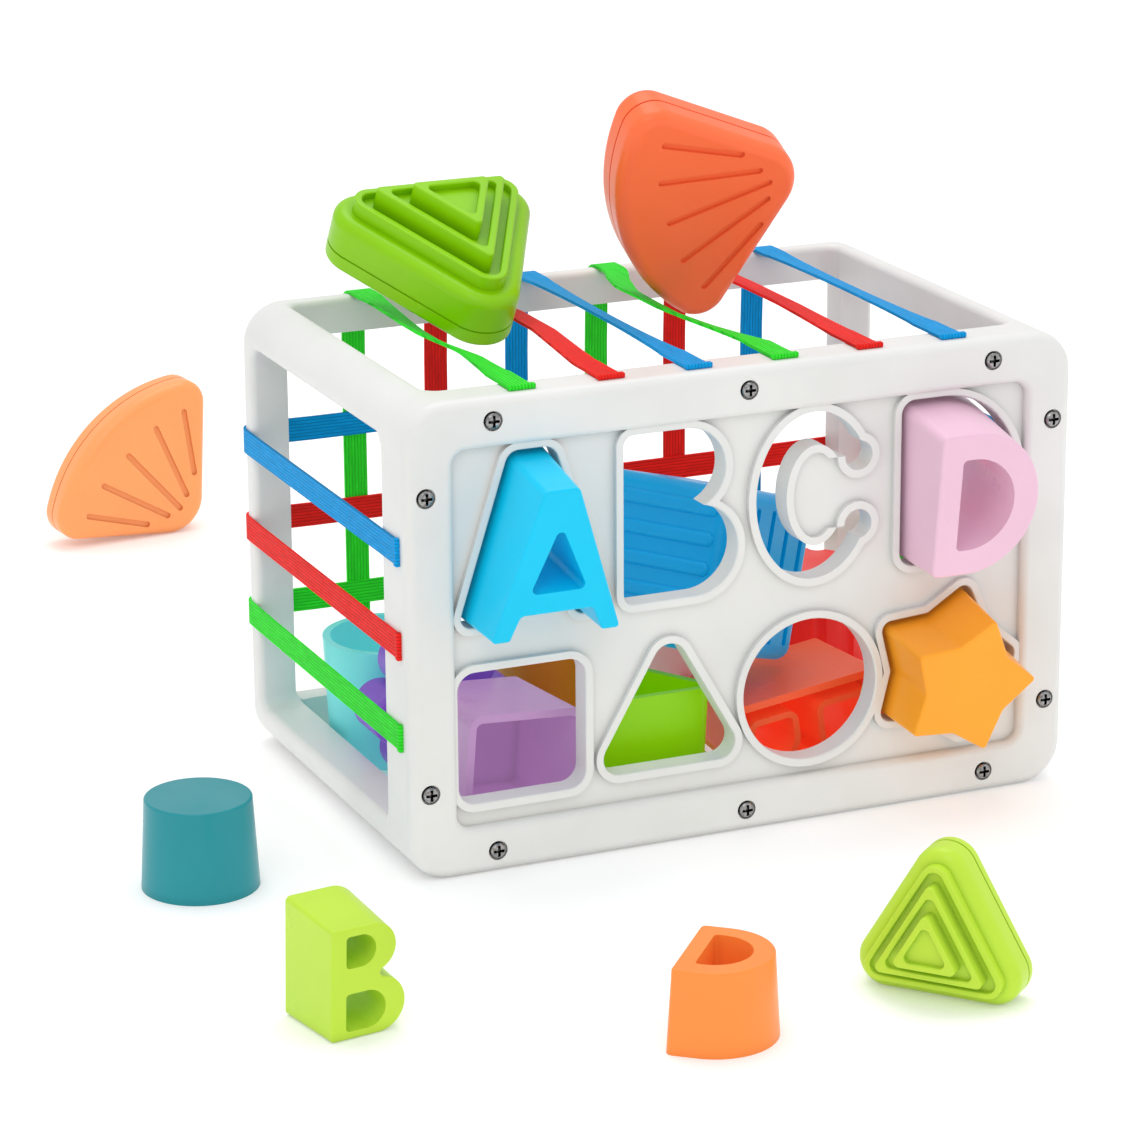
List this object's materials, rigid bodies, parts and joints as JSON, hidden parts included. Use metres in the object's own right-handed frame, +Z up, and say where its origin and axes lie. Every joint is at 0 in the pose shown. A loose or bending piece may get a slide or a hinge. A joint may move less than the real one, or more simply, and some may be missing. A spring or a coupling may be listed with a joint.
{
  "type": "shape sorter",
  "caption": "Open box frame laced with elastic bands, with a front panel of letter and shape holes, and hollow moulded blocks that pass through the holes and bands.",
  "frame": {"origin": "middle of the underside of the frame's front bottom rail", "axes": "+X to the right along the front panel, +Y towards the back, +Z up; the panel faces -Y"},
  "size_m": [0.2679, 0.4933, 0.1963],
  "materials": {
    "white_plastic": "satin",
    "steel": "bright",
    "green_band": "woven",
    "red_band": "woven",
    "blue_band": "woven",
    "blue_plastic": "satin",
    "pink_plastic": "satin",
    "amber_plastic": "satin",
    "purple_plastic": "satin",
    "lime_plastic": "satin",
    "pale_lime_plastic": "satin",
    "orange_plastic": "satin",
    "red_orange_plastic": "satin",
    "red_plastic": "satin",
    "teal_plastic": "satin",
    "aqua_plastic": "satin"
  },
  "bodies": {
    "box": {"front_panel": "white_plastic", "body_frame": "white_plastic", "panel_screws": "steel", "upright_band_1": "green_band", "upright_band_2": "red_band", "upright_band_3": "blue_band", "upright_band_4": "green_band", "upright_band_5": "red_band", "upright_band_6": "blue_band", "side_band_top": "blue_band", "side_band_middle": "red_band", "side_band_bottom": "green_band"},
    "block_a": {"block_a": "blue_plastic"},
    "block_d": {"block_d": "pink_plastic"},
    "block_star": {"block_star": "amber_plastic"},
    "block_square": {"block_square": "purple_plastic"},
    "block_triangle": {"block_triangle": "lime_plastic"},
    "block_b_inside": {"block_b_inside": "red_orange_plastic"},
    "block_c": {"block_c": "orange_plastic"},
    "block_round": {"block_round": "aqua_plastic"},
    "block_flower": {"block_flower": "purple_plastic"},
    "block_roller": {"block_roller": "red_plastic"},
    "block_ribbed_cube": {"block_ribbed_cube": "blue_plastic"},
    "loose_round": {"loose_round": "teal_plastic"},
    "loose_b": {"loose_b": "pale_lime_plastic"},
    "loose_d": {"loose_d": "orange_plastic"},
    "fan": {"fan_face": "red_orange_plastic", "fan_back": "red_orange_plastic"},
    "stepped": {"stepped_face": "lime_plastic", "stepped_base": "lime_plastic"},
    "loose_stepped": {"loose_stepped_face": "pale_lime_plastic", "loose_stepped_base": "pale_lime_plastic"},
    "loose_fan": {"loose_fan_face": "orange_plastic", "loose_fan_back": "orange_plastic"}
  },
  "joints": [
    {"name": "block_a_slide", "type": "slide", "parent": "box", "child": "block_a", "axis": [0, -0.9925, -0.1219], "range_m": [-0.03, 0.04]},
    {"name": "block_d_slide", "type": "slide", "parent": "box", "child": "block_d", "axis": [0, -0.9925, -0.1219], "range_m": [-0.025, 0.04]},
    {"name": "block_star_slide", "type": "slide", "parent": "box", "child": "block_star", "axis": [0, -0.9925, -0.1219], "range_m": [0, 0.035]},
    {"name": "block_square_slide", "type": "slide", "parent": "box", "child": "block_square", "axis": [0, 0, 1], "range_m": [0, 0.02]},
    {"name": "block_triangle_slide", "type": "slide", "parent": "box", "child": "block_triangle", "axis": [0, 1, 0], "range_m": [0, 0.008]},
    {"name": "block_b_inside_slide", "type": "slide", "parent": "box", "child": "block_b_inside", "axis": [0, 1, 0], "range_m": [0, 0.008]},
    {"name": "block_c_slide", "type": "slide", "parent": "box", "child": "block_c", "axis": [0, 1, 0], "range_m": [0, 0.008]},
    {"name": "block_round_slide", "type": "slide", "parent": "box", "child": "block_round", "axis": [0, 0, 1], "range_m": [0, 0.03]},
    {"name": "block_flower_slide", "type": "slide", "parent": "box", "child": "block_flower", "axis": [0, 0, 1], "range_m": [0, 0.02]},
    {"name": "block_roller_slide", "type": "slide", "parent": "box", "child": "block_roller", "axis": [0, 0, 1], "range_m": [0, 0.03]},
    {"name": "block_ribbed_cube_slide", "type": "slide", "parent": "box", "child": "block_ribbed_cube", "axis": [0, 0, 1], "range_m": [0, 0.03]},
    {"name": "fan_slide", "type": "slide", "parent": "box", "child": "fan", "axis": [0, 0, 1], "range_m": [0, 0.05]},
    {"name": "stepped_slide", "type": "slide", "parent": "box", "child": "stepped", "axis": [0, 0, 1], "range_m": [0, 0.05]},
    {"name": "loose_round_slide", "type": "slide", "parent": "box", "child": "loose_round", "axis": [0, 0, 1], "range_m": [0, 0.05]},
    {"name": "loose_b_slide", "type": "slide", "parent": "box", "child": "loose_b", "axis": [0, 0, 1], "range_m": [0, 0.05]},
    {"name": "loose_d_slide", "type": "slide", "parent": "box", "child": "loose_d", "axis": [0, 0, 1], "range_m": [0, 0.05]},
    {"name": "loose_stepped_slide", "type": "slide", "parent": "box", "child": "loose_stepped", "axis": [0, 0, 1], "range_m": [0, 0.05]},
    {"name": "loose_fan_slide", "type": "slide", "parent": "box", "child": "loose_fan", "axis": [0, 0, 1], "range_m": [0, 0.05]}
  ]
}
